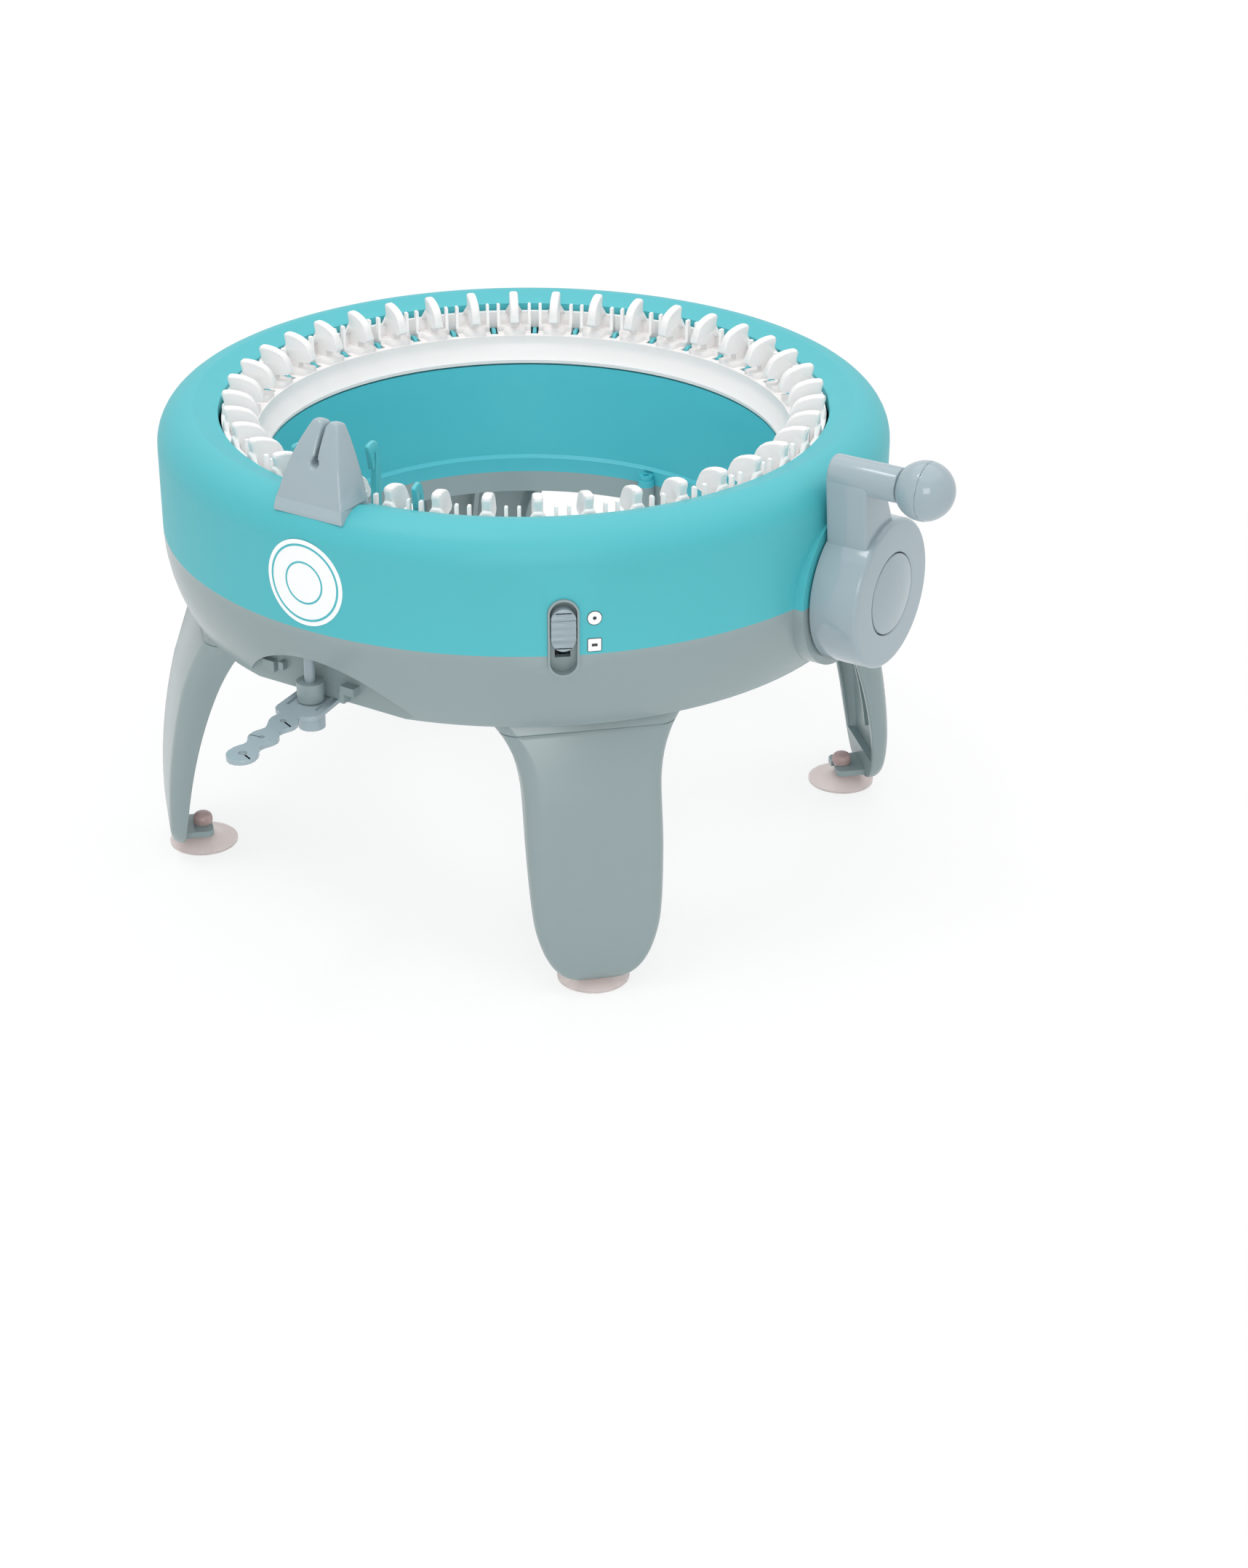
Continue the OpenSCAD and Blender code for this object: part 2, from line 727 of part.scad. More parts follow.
module arm_outline() {
    plate_w = 14;
    plate_in = 9.5;
    plate_out = 8.5;
    corner = 1.2;
    lobe_step = 9;
    mean_w = 3.75;
    swell = 0.75;
    tip_r = mean_w + swell;
    slit_w = 0.8;
    edge = concat(
        [[-plate_in, plate_w / 2 - corner], [corner - plate_in, plate_w / 2],
         [plate_out - corner, plate_w / 2], [plate_out - 0.1, plate_w / 2 - corner]],
        [for (x = [plate_out:1:arm_len - tip_r - 1])
            [x, mean_w - swell * cos(360 * (x - plate_out) / lobe_step)]],
        arc(arm_len - tip_r, 0, tip_r, 90, 0, 6));
    difference() {
        polygon(concat(edge, reversed([for (q = edge) [q[0], -q[1]]])));
        for (s = [-1, 1]) translate([-plate_in + 3, s * (boss_r + 0.8) - slit_w / 2])
            square([plate_in + plate_out - 7, slit_w]);
        for (i = [0:2]) let (x = plate_out + lobe_step * (i + 0.5), s = i % 2 == 0 ? 1 : -1) {
            translate([x, 0]) circle(1.1);
            translate([x - slit_w / 2, s > 0 ? 0 : -2 * tip_r]) square([slit_w, 2 * tip_r]);
        }
    }
}

module tension_arm() {
    color(pale_grey) at(pivot_az) translate([pivot_r, 0, plate_z]) rotate(arm_turn) difference() {
        linear_extrude(arm_t) arm_outline();
        translate([0, 0, -1]) cylinder(h = arm_t + 2, r = pivot_dia / 2 + shaft_gap);
    }
}

// Needle ring: a slotted drum with a funnel inside, fins between the needles and yarn prongs
module drum_outline() {
    half = needle_w / 2 + slide_gap;
    function round_part(i) = arc(0, 0, drum_out_r, (i - 0.5) * needle_pitch + asin(half / drum_out_r),
                                 (i + 0.5) * needle_pitch - asin(half / drum_out_r), 4);
    function slot_part(i) = let (a = (i + 0.5) * needle_pitch, d = [cos(a), sin(a)], n = [-sin(a), cos(a)])
        [slot_r * d - half * n, slot_r * d + half * n];
    difference() {
        polygon([for (i = [0:needle_count - 1]) each concat(round_part(i), slot_part(i))]);
        circle(drum_in_r);
    }
}

// The deck on the drum, with a notch in front of each needle and a slot that its hook passes
module deck_outline() {
    half = needle_w / 2 + slide_gap + 0.1;
    wide = notch_w / 2;
    deep = slot_r + 2.9;
    rim_mid = rim_r - rim_t / 2;
    function round_part(i) = arc(0, 0, band_r, (i - 0.5) * needle_pitch + asin(wide / band_r),
                                 (i + 0.5) * needle_pitch - asin(wide / band_r), 3);
    function cut_part(i) = let (a = (i + 0.5) * needle_pitch, d = [cos(a), sin(a)], n = [-sin(a), cos(a)])
        [deep * d - wide * n, deep * d - half * n, (rim_mid - bite) * d - half * n,
         (rim_mid - bite) * d + half * n, deep * d + half * n, deep * d + wide * n];
    difference() {
        circle(rim_mid);
        polygon([for (i = [0:needle_count - 1]) each concat(round_part(i), cut_part(i))]);
    }
}

module funnel() {
    inset = slot_r - 0.35;
    rotate_extrude() polygon([
        [mouth_r, mouth_z], [mouth_r + 2.4, crease_z], [band_r - 0.15, notch_z + bite / 2],
        [inset, notch_z + bite / 2],
        [inset, mouth_z + 3], [drum_in_r - bite, mouth_z + 2], [mouth_r + 0.3, mouth_z - 1.2]]);
}

module fin() {
    tip_r = rim_r - 0.2;
    tip_z = deck_z + fin_h;
    nose_r = tip_r - fin_reach;
    nose_z = deck_z + 3.5;
    foot_r = nose_r + 5.6;
    slab(fin_t) polygon(concat(
        [[foot_r, deck_z - 1], [foot_r - 0.4, nose_z - 1.4], [nose_r + 0.9, nose_z - 1]],
        curve([nose_r, nose_z], [nose_r + 0.6, tip_z - 2], [nose_r + 5, tip_z - 0.9], 5),
        curve([nose_r + 6, tip_z - 0.55], [nose_r + 8, tip_z], [tip_r - 0.9, tip_z], 3),
        curve([tip_r, tip_z - 0.9], [tip_r - 1.8, deck_z + 5], [rim_r - bite, deck_z + 2], 4),
        [[rim_r - bite, deck_z - 1]]));
}

// Flared gussets where a fin meets the rim
module gussets() {
    rim_top_z = deck_z + rim_h;
    half = fin_t / 2;
    flare = 1.6;
    outward(rim_r - rim_t - 0.8, rim_r - bite) polygon([
        [-half - flare, rim_top_z - 0.3], [half + flare, rim_top_z - 0.3],
        [half - bite, rim_top_z + 2.8], [bite - half, rim_top_z + 2.8]]);
}

module prongs() {
    prong_t = 1;
    prong_d = 1.5;
    prong_h = 7.5;
    for (s = [-1, 1])
        translate([drum_out_r - prong_d, s * (needle_w / 2 + slide_gap + 0.6) - prong_t / 2, deck_z - 1])
            cube([prong_d, prong_t, prong_h + 1]);
}

module needle_ring() {
    color(white) union() {
        translate([0, 0, drum_z]) linear_extrude(notch_z - drum_z + bite) drum_outline();
        translate([0, 0, notch_z]) linear_extrude(deck_z - notch_z) deck_outline();
        funnel();
        tube(rim_r - rim_t, rim_r, notch_z + bite, deck_z + rim_h);
        for (i = [0:needle_count - 1]) at(i * needle_pitch) {
            fin();
            gussets();
        }
        for (i = [0:needle_count - 1]) at((i + 0.5) * needle_pitch) prongs();
    }
}

// Crown gear: a flat ring under the drum with teeth that face up
module crown_gear() {
    slope = tan(pressure);
    top_half = tooth_half - crown_add * slope;
    root_half = tooth_half + (mesh_z - drum_z) * slope;
    color(white) union() {
        tube(drum_in_r, tooth_out_r, gear_z, drum_z);
        for (i = [0:crown_teeth - 1]) at(i * 360 / crown_teeth) outward(tooth_in_r, tooth_out_r - 0.5)
            polygon([[-root_half, drum_z - bite], [root_half, drum_z - bite],
                     [root_half, drum_z], [top_half, mesh_z + crown_add],
                     [-top_half, mesh_z + crown_add], [-root_half, drum_z]]);
    }
}

// Needles: a stem with a butt for the cam and a deep hook that opens downwards on its outer side,
// narrowed towards the top
module needle_side() {
    zt = needle_z + needle_len;
    stem_r = needle_r + needle_d;
    hook_r = needle_r + hook_d;
    throat_r = needle_r + 2.6;
    polygon(concat(
        [[needle_r, needle_z], [stem_r, needle_z], [stem_r, needle_z + butt_up],
         [butt_r, needle_z + butt_up], [butt_r, needle_z + butt_up + butt_h],
         [stem_r, needle_z + butt_up + butt_h], [stem_r, zt - 13]],
        curve([throat_r, zt - 9.4], [throat_r - 0.8, zt - 5], [throat_r - 0.3, zt - 3.2], 4),
        [[throat_r + 0.3, zt - 3.5], [throat_r + 0.8, zt - 8.2], [throat_r + 1.5, zt - 8.4]],
        curve([hook_r - 1.6, zt - 6], [hook_r - 0.8, zt - 3.4], [hook_r, zt - 1.1], 3),
        curve([hook_r - 0.5, zt - 0.5], [hook_r - 2.2, zt], [throat_r - 0.4, zt - 0.1], 3),
        curve([throat_r - 1.2, zt - 0.5], [needle_r, zt - 2], [needle_r, zt - 6], 4)));
}

module needle_front() {
    zt = needle_z + needle_len;
    half = needle_w / 2;
    neck = half - 0.45;
    polygon([[-half, needle_z - 1], [half, needle_z - 1], [half, zt - 5.5],
             [neck, zt + 1], [-neck, zt + 1], [-half, zt - 5.5]]);
}

module needle(place, lift) {
    at((place + 0.5) * needle_pitch) translate([0, 0, lift]) intersection() {
        slab(needle_w + 1) needle_side();
        outward(needle_r - 1, butt_r + 1) needle_front();
    }
}

function is_raised(i) = i >= first_raised && i < first_raised + len(raised_share);

module needle_set() {
    color(teal) for (i = [0:needle_count - 1])
        if (!is_raised(i) && i != marker_place) needle(i, 0);
}

module marker_needle() {
    color(maroon) needle(marker_place, 0);
}

module raised_needle(k) {
    color(teal) needle(first_raised + k, raised_share[k] * needle_lift);
}

module raised_needle_1() { raised_needle(0); }
module raised_needle_2() { raised_needle(1); }
module raised_needle_3() { raised_needle(2); }
module raised_needle_4() { raised_needle(3); }

// Crank: a hub with an arm and a fixed handle, a cap over its screw, the shaft and the pinion
// Turns the crank to its lean at rest
module leaned() {
    at(crank_az) translate([0, 0, crank_z]) rotate([crank_lean, 0, 0]) translate([0, 0, -crank_z]) children();
}

module crank_handle() {
    edge_r = 3;
    shaft_in = 8;
    head_room = screw_head_t + 0.2;
    color(pale_grey) leaned() difference() {
        union() {
            translate([hub_back_r, 0, crank_z]) rotate([0, 90, 0]) rotate_extrude() union() {
                square([hub_r - edge_r, hub_d]);
                square([hub_r, hub_d - edge_r]);
                translate([hub_r - edge_r, hub_d - edge_r]) circle(edge_r);
            }
            outward(hub_back_r, hub_back_r + arm_d) union() {
                polygon([[-arm_w_foot / 2, crank_z + hub_r / 2], [arm_w_foot / 2, crank_z + hub_r / 2],
                         [arm_w_top / 2, handle_z], [-arm_w_top / 2, handle_z]]);
                translate([0, handle_z]) circle(d = arm_w_top);
            }
            rod(hub_back_r + arm_d / 2, handle_end_r - knob_gap, handle_z, handle_dia / 2);
            rod(hub_back_r + arm_d, spindle_end_r, handle_z, spindle_dia / 2);
            rod(spindle_end_r - spindle_head_t, spindle_end_r, handle_z, spindle_head_dia / 2);
        }
        rod(hub_back_r - 1, hub_back_r + shaft_in, crank_z, shaft_dia / 2 + seat_gap);
        rod(hub_back_r, hub_face_r, crank_z, screw_r + seat_gap);
        rod(hub_face_r - cap_t - head_room, hub_face_r + 1, crank_z, screw_head_r + seat_gap);
        rod(hub_face_r - cap_t, hub_face_r + 1, crank_z, cap_r + cap_gap);
    }
}

module crank_cap() {
    color(pale_grey) at(crank_az) rod(hub_face_r - cap_t, hub_face_r - 0.2, crank_z, cap_r);
}

module crank_screw() {
    color(steel) at(crank_az) translate([hub_face_r - cap_t - screw_head_t - 0.2, 0, crank_z])
        rotate([0, -90, 0]) screw(12);
}

module crank_shaft() {
    color(steel) at(crank_az) difference() {
        rod(gear_r - pinion_face / 2 - 0.5, hub_back_r + 8, crank_z, shaft_dia / 2);
        rod(hub_back_r - 8, hub_back_r + 9, crank_z, screw_r + seat_gap);
    }
}

function inv(a) = tan(a) * 180 / PI - a;
function tooth_half_angle(r) = let (base_r = pinion_r * cos(pressure))
    tooth_half / pinion_r * 180 / PI + inv(pressure) - inv(r > base_r ? acos(base_r / r) : 0);

module pinion_outline() {
    tip_r = pinion_r + pinion_add;
    root_r = pinion_r - pinion_ded;
    step = 360 / pinion_teeth;
    flank = concat([[root_r, tooth_half_angle(root_r) * 0.9]],
                   [for (r = [pinion_r - 0.6, pinion_r, pinion_r + pinion_add / 2, tip_r])
                       [r, tooth_half_angle(r)]]);
    polygon([for (k = [0:pinion_teeth - 1]) let (mid = (k + 0.5) * step - 90)
        each concat([for (p = flank) p[0] * [cos(mid - p[1]), sin(mid - p[1])]],
                    [for (p = reversed(flank)) p[0] * [cos(mid + p[1]), sin(mid + p[1])]])]);
}

module pinion() {
    color(white) at(crank_az) outward(gear_r - pinion_face / 2, gear_r + pinion_face / 2)
        translate([0, crank_z]) difference() {
            pinion_outline();
            circle(shaft_dia / 2 + seat_gap);
        }
}

// Ball knob: two halves round the spindle's head
module knob_ball() {
    pocket = 0.3;
    color(pale_grey) leaned() difference() {
        translate([knob_x, 0, handle_z]) sphere(d = knob_dia);
        rod(knob_x - knob_dia, handle_end_r, handle_z, handle_dia);
        rod(knob_x - knob_dia, spindle_end_r, handle_z, spindle_dia / 2 + shaft_gap);
        rod(spindle_end_r - spindle_head_t - pocket, spindle_end_r + pocket, handle_z,
            spindle_head_dia / 2 + pocket);
    }
}

module knob_side(r0, r1) {
    intersection() {
        knob_ball();
        leaned() rod(r0, r1, handle_z, knob_dia);
    }
}

module knob_back() { knob_side(knob_x - knob_dia, knob_split_r); }
module knob_front() { knob_side(knob_split_r, knob_x + knob_dia); }

top_housing();
base_housing();
inner_sleeve();
sleeve_screws();
lift_cam();
yarn_feeder();
feeder_screw();
crank_bush();
selector_plate();
leg_front();
leg_right();
leg_rear();
leg_left();
leg_screws();
suction_cup_front();
suction_cup_right();
suction_cup_rear();
suction_cup_left();
tensioner_pin();
tension_arm();
selector_button();
selector_catch();
needle_ring();
crown_gear();
needle_set();
marker_needle();
raised_needle_1();
raised_needle_2();
raised_needle_3();
raised_needle_4();
crank_handle();
crank_cap();
crank_shaft();
pinion();
crank_screw();
knob_back();
knob_front();
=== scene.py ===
# Round knitting loom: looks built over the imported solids
# Lengths are written in millimetres, and MM brings them to metres where they are placed
import json
import math

import bmesh
import bpy
from mathutils import Matrix, Vector

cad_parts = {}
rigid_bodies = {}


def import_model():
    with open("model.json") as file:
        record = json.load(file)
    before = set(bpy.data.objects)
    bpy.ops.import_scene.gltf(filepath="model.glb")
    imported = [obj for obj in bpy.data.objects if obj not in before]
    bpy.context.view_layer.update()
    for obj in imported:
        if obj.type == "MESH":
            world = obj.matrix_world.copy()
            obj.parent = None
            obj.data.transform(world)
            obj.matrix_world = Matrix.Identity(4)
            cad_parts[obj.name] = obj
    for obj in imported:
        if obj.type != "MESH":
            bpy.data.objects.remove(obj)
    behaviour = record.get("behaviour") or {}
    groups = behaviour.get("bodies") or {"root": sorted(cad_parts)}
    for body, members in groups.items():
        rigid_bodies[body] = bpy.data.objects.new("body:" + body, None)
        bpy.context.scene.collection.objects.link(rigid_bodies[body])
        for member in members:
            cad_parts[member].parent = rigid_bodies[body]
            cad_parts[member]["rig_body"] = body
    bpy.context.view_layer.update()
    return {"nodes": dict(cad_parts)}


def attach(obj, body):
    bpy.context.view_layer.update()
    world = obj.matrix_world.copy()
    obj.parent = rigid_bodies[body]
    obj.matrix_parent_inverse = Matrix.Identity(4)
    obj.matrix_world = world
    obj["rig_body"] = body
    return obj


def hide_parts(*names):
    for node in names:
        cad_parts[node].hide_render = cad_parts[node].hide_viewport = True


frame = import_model()
nodes = frame["nodes"]
MM = 0.001

# Places shared with the solids
CRANK_AZ = math.radians(-45)
SELECTOR_AZ = math.radians(-96)
BADGE_AZ = math.radians(-135)
CRANK_Z = 109.7 * MM
BODY_R = 114.0 * MM
DECK_Z = 138.5 * MM
LIP_Z = 144.5 * MM
LEG_AZ = {"front": -91.1, "right": -1.1, "rear": 88.9, "left": 178.9}
PITCH = math.radians(9)


def srgb(r, g, b):
    """A colour written as it looks on a screen, 0 to 255, as linear light."""
    linear = [((c / 255 + 0.055) / 1.055) ** 2.4 if c > 10 else c / 255 / 12.92 for c in (r, g, b)]
    return tuple(linear) + (1.0,)


def shade(colour, k):
    """A lighter or darker tone of a colour."""
    return tuple(min(1.0, c * k) for c in colour[:3]) + (1.0,)


def plastic(name, colour, rough=0.34, vary=0.05, grain=0.012, scale=420.0, subsurface=0.0):
    """Moulded plastic: broad tone drift, fine surface grain, and a painted highlight that makes
    convex edges paler.
    """
    m = bpy.data.materials.new(name)
    m.use_nodes = True
    n, l = m.node_tree.nodes, m.node_tree.links
    shader = n["Principled BSDF"]
    place = n.new("ShaderNodeTexCoord")
    broad = n.new("ShaderNodeTexNoise")
    broad.inputs["Scale"].default_value = 26.0
    broad.inputs["Detail"].default_value = 3.0
    l.new(place.outputs["Object"], broad.inputs["Vector"])
    tone = n.new("ShaderNodeMix")
    tone.data_type = "RGBA"
    tone.inputs["A"].default_value = shade(colour, 1 - vary)
    tone.inputs["B"].default_value = shade(colour, 1 + vary)
    l.new(broad.outputs["Fac"], tone.inputs["Factor"])
    # Painted highlight: convex edges, found by pointiness, are mixed towards a tone 1.22 times
    # paler, as if they caught the light
    point = n.new("ShaderNodeNewGeometry")
    edge = n.new("ShaderNodeMapRange")
    edge.inputs["From Min"].default_value = 0.53
    edge.inputs["From Max"].default_value = 0.62
    edge.inputs["To Max"].default_value = 0.35
    l.new(point.outputs["Pointiness"], edge.inputs["Value"])
    painted_edge_highlight = n.new("ShaderNodeMix")
    painted_edge_highlight.data_type = "RGBA"
    painted_edge_highlight.inputs["B"].default_value = shade(colour, 1.22)
    l.new(edge.outputs["Result"], painted_edge_highlight.inputs["Factor"])
    l.new(tone.outputs["Result"], painted_edge_highlight.inputs["A"])
    l.new(painted_edge_highlight.outputs["Result"], shader.inputs["Base Color"])
    fine = n.new("ShaderNodeTexNoise")
    fine.inputs["Scale"].default_value = scale
    fine.inputs["Detail"].default_value = 2.0
    l.new(place.outputs["Object"], fine.inputs["Vector"])
    gloss = n.new("ShaderNodeMapRange")
    gloss.inputs["To Min"].default_value = rough - 0.03
    gloss.inputs["To Max"].default_value = rough + 0.04
    l.new(fine.outputs["Fac"], gloss.inputs["Value"])
    l.new(gloss.outputs["Result"], shader.inputs["Roughness"])
    bump = n.new("ShaderNodeBump")
    bump.inputs["Strength"].default_value = grain
    bump.inputs["Distance"].default_value = 0.0002
    l.new(fine.outputs["Fac"], bump.inputs["Height"])
    l.new(bump.outputs["Normal"], shader.inputs["Normal"])
    if subsurface:
        shader.inputs["Subsurface Weight"].default_value = subsurface
        shader.inputs["Subsurface Radius"].default_value = (0.003, 0.0026, 0.0024)
        shader.inputs["Subsurface Scale"].default_value = 0.4
    return m


TEAL = plastic("teal_plastic", srgb(73, 178, 187), rough=0.5, vary=0.025, grain=0.02)
TEAL_IN = plastic("teal_inner_plastic", srgb(70, 182, 195), rough=0.45, vary=0.025)
GREY = plastic("grey_plastic", srgb(141, 157, 159), rough=0.24, vary=0.03)
PALE = plastic("pale_grey_plastic", srgb(155, 171, 178), rough=0.11, vary=0.025)
WHITE = plastic("white_plastic", srgb(242, 239, 238), rough=0.36, vary=0.015, subsurface=0.12)
NEEDLE = plastic("needle_plastic", srgb(80, 184, 194), rough=0.28, vary=0.05)
MAROON = plastic("marker_plastic", srgb(110, 58, 70), rough=0.3, vary=0.05)
BADGE = plastic("badge_ink", srgb(246, 248, 248), rough=0.5, vary=0.015)
DARK = plastic("mark_ink", srgb(44, 52, 54), rough=0.5, vary=0.05)


def steel(name):
    """Bare metal with the same fine grain."""
    m = plastic(name, srgb(178, 180, 182), rough=0.25, vary=0.06, scale=1500.0)
    m.node_tree.nodes["Principled BSDF"].inputs["Metallic"].default_value = 1.0
    return m


STEEL = steel("screw_steel")


def rubber(name, colour, dense, head_z):
    """Clear pinkish rubber: light passes through the skirt, and the thick head looks denser."""
    m = plastic(name, colour, rough=0.24, vary=0.03)
    n, l = m.node_tree.nodes, m.node_tree.links
    shader = n["Principled BSDF"]
    place = n.new("ShaderNodeTexCoord")
    axes = n.new("ShaderNodeSeparateXYZ")
    l.new(place.outputs["Object"], axes.inputs["Vector"])
    above = n.new("ShaderNodeMapRange")
    above.inputs["From Min"].default_value = head_z - 0.4 * MM
    above.inputs["From Max"].default_value = head_z + 1.2 * MM
    l.new(axes.outputs["Z"], above.inputs["Value"])
    depth = n.new("ShaderNodeMix")
    depth.data_type = "RGBA"
    depth.inputs["B"].default_value = dense
    l.new(above.outputs["Result"], depth.inputs["Factor"])
    l.new(shader.inputs["Base Color"].links[0].from_socket, depth.inputs["A"])
    l.new(depth.outputs["Result"], shader.inputs["Base Color"])
    shader.inputs["Transmission Weight"].default_value = 0.5
    shader.inputs["IOR"].default_value = 1.4
    shader.inputs["Subsurface Weight"].default_value = 0.3
    shader.inputs["Subsurface Radius"].default_value = (0.004, 0.003, 0.003)
    shader.inputs["Subsurface Scale"].default_value = 0.5
    return m


RUBBER = rubber("cup_rubber", srgb(253, 238, 235), srgb(222, 194, 192), 6.2 * MM)


def finish_mesh(bm, name, mat, body, node=None, smooth=35.0):
    """Turns a bmesh into a shown piece on a body, smooth except at real edges."""
    me = bpy.data.meshes.new(name)
    bm.normal_update()
    bm.to_mesh(me)
    bm.free()
    for p in me.polygons:
        p.use_smooth = True
    me.set_sharp_from_angle(angle=math.radians(smooth))
    me.materials.append(mat)
    ob = bpy.data.objects.new(name, me)
    bpy.context.scene.collection.objects.link(ob)
    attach(ob, body)
    if node:
        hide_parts(node)
    return ob


def local(co, az):
    """Outward, sideways and up from the axis, seen along an azimuth."""
    c, s = math.cos(az), math.sin(az)
    return co.x * c + co.y * s, co.y * c - co.x * s, co.z


def rounded(node, mat, rules):
    """A copy of a solid with its edges rounded: rules are (width, steps, least angle, test)."""
    bm = bmesh.new()
    bm.from_mesh(nodes[node].data)
    bmesh.ops.remove_doubles(bm, verts=bm.verts, dist=2e-6)
    bmesh.ops.dissolve_limit(bm, angle_limit=math.radians(0.6), verts=bm.verts, edges=bm.edges)
    for width, steps, least, test in rules:
        bm.normal_update()
        edges = [e for e in bm.edges if len(e.link_faces) == 2 and e.is_convex
                 and e.calc_face_angle(0) > math.radians(least)
                 and (test is None or test((e.verts[0].co + e.verts[1].co) / 2, e))]
        bmesh.ops.bevel(bm, geom=edges, offset=width * MM, offset_type="OFFSET", segments=steps,
                        profile=0.5, affect="EDGES", clamp_overlap=False)
    return finish_mesh(bm, node + "_piece", mat, nodes[node]["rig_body"], node)


def dress(node, mat):
    """Keeps a solid as it is and gives it a finish."""
    ob = nodes[node]
    ob.data.materials.clear()
    ob.data.materials.append(mat)


for name in ("top_housing", "lift_cam"):
    dress(name, TEAL)
for name in ("base_housing", "selector_plate"):
    dress(name, GREY)
for name in ("inner_sleeve", "sleeve_screws"):
    dress(name, TEAL_IN)
dress("tensioner_pin", PALE)
for name in ("crown_gear", "pinion", "crank_bush", "selector_catch"):
    dress(name, WHITE)
for side in LEG_AZ:
    dress("suction_cup_" + side, RUBBER)
for name in ("leg_screws", "feeder_screw", "crank_screw", "crank_shaft"):
    dress(name, STEEL)

# Legs: lofted channels with round outer edges, a rib and a tongue for the cup
LEG_TOP, LEG_BOTTOM, LEG_WALL = 84.0, 3.4, 2.6
LEG_HALF, FLARE_HALF, ROUND_H = 20.5, 29.5, 18.0
FOOT_EDGE_R, LEG_OUT_R, CUP_MID_R = 107.0, 119.5, 108.3
TOE_H, TOE_DRAW, LEG_TUCK, HUG_H = 9.0, 3.0, 1.2, 22.0
KNEE_SHARE, FLARE_H, SEAM_DEEP = 0.918, 24, 0.45
RIB_HALF, RIB_HEIGHTS = 0.8, range(20, 82, 4)
TONGUE_LOW, TONGUE_HIGH = 4.2, 6.2


def bend(p0, p1, p2, t):
    """A point on a curve with one control point."""
    return tuple((1 - t) ** 2 * a + 2 * t * (1 - t) * b + t * t * c for a, b, c in zip(p0, p1, p2))


def bend_at(p0, p1, p2, z):
    """The first value of such a curve where its second value is z, which falls along it."""
    lo, hi = 0.0, 1.0
    for _ in range(40):
        mid = (lo + hi) / 2
        if bend(p0, p1, p2, mid)[1] > z:
            lo = mid
        else:
            hi = mid
    return bend(p0, p1, p2, (lo + hi) / 2)[0]


def leg_outer(z):
    """The channel's outer face at a height, as a distance from the axis."""
    ankle = LEG_BOTTOM + TOE_H
    if z < ankle:
        return bend_at((LEG_OUT_R, ankle), (LEG_OUT_R, LEG_BOTTOM + TOE_H * 0.28),
                       (LEG_OUT_R - TOE_DRAW, LEG_BOTTOM), z)
    return bend_at((FOOT_EDGE_R - LEG_TUCK, LEG_TOP), (LEG_OUT_R + 0.3, LEG_TOP * 0.55),
                   (LEG_OUT_R, ankle), z)


def leg_inner(z):
    """The channel's open back at a height, as a distance from the axis."""
    return bend_at((FOOT_EDGE_R - 18, LEG_TOP), (LEG_OUT_R - 7.5, LEG_TOP * 0.643),
                   (LEG_OUT_R - 4.6, LEG_BOTTOM), z)


def leg_half(z):
    """Half the leg's width at a height: a round toe, a straight shin and a flare at the top."""
    knee = LEG_BOTTOM + ROUND_H
    shin = knee + 1.45 * ROUND_H
    if z < knee:
        return bend_at((LEG_HALF * KNEE_SHARE, knee), (LEG_HALF * 0.74, LEG_BOTTOM + 0.8),
                       (LEG_HALF * 0.26, LEG_BOTTOM), z)
    if z < shin:
        return bend_at((LEG_HALF, shin), (LEG_HALF * 0.98, knee + 0.45 * ROUND_H),
                       (LEG_HALF * KNEE_SHARE, knee), z)
    if z < LEG_TOP - FLARE_H:
        return LEG_HALF
    return bend_at((FLARE_HALF, LEG_TOP), (LEG_HALF, LEG_TOP - 8.4),
                   (LEG_HALF, LEG_TOP - FLARE_H), z)


def channel(z, wall, groove):
    """One level of the channel: out along one side, round the front, back, then the inside.
    Near the top the front bends to the round edge of the base."""
    out, back, half = leg_outer(z) - groove, leg_inner(z), leg_half(z) - groove
    deep = max(out - back, 0.4)
    curl = min(5.5, deep * 0.72, half * 0.8)
    edge = min(0.5, LEG_WALL / 4)
    turns = [math.pi / 2 * k / 6 for k in range(7)]
    right = [(back, half - edge), (back + edge, half)]
    right += [(out - curl + curl * math.sin(t), half - curl + curl * math.cos(t)) for t in turns]
    skin = right + [(o, -s) for o, s in reversed(right)]
    if wall:
        deep_in = max(out - LEG_WALL, back + 0.2)
        half_in = half - LEG_WALL
        curl_in = max(min(curl - 1.2, (deep_in - back) * 0.7, half_in * 0.7), 0.05)
        inside = [(back, half_in + edge), (back + edge, half_in)]
        inside += [(deep_in - curl_in + curl_in * math.sin(t),
                    half_in - curl_in + curl_in * math.cos(t)) for t in turns]
    else:
        inside = [(back, half * (0.9 - 0.09 * k)) for k in range(len(right))]
    inside += [(o, -s) for o, s in reversed(inside)]
    hug = max(0.0, (z - LEG_TOP + HUG_H) / HUG_H) ** 0.7
    return [(o - hug * (o - back) / deep * (FOOT_EDGE_R - math.sqrt(FOOT_EDGE_R ** 2 - s * s)), s)
            for o, s in skin + inside[::-1]]


def loft(bm, levels, place):
    """Closed skin through levels of equal count, capped at both ends."""
    rows = [[bm.verts.new(place(o, s, z)) for o, s in points] for z, points in levels]
    for a, b in zip(rows, rows[1:]):
        for k in range(len(a)):
            j = (k + 1) % len(a)
            bm.faces.new((a[k], a[j], b[j], b[k]))
    bm.faces.new(rows[0][::-1])
    bm.faces.new(rows[-1])


def prism(bm, outline, low, high, place):
    """An outline, drawn as two numbers a point, drawn out between two values."""
    loft(bm, [(low, outline), (high, outline)], place)


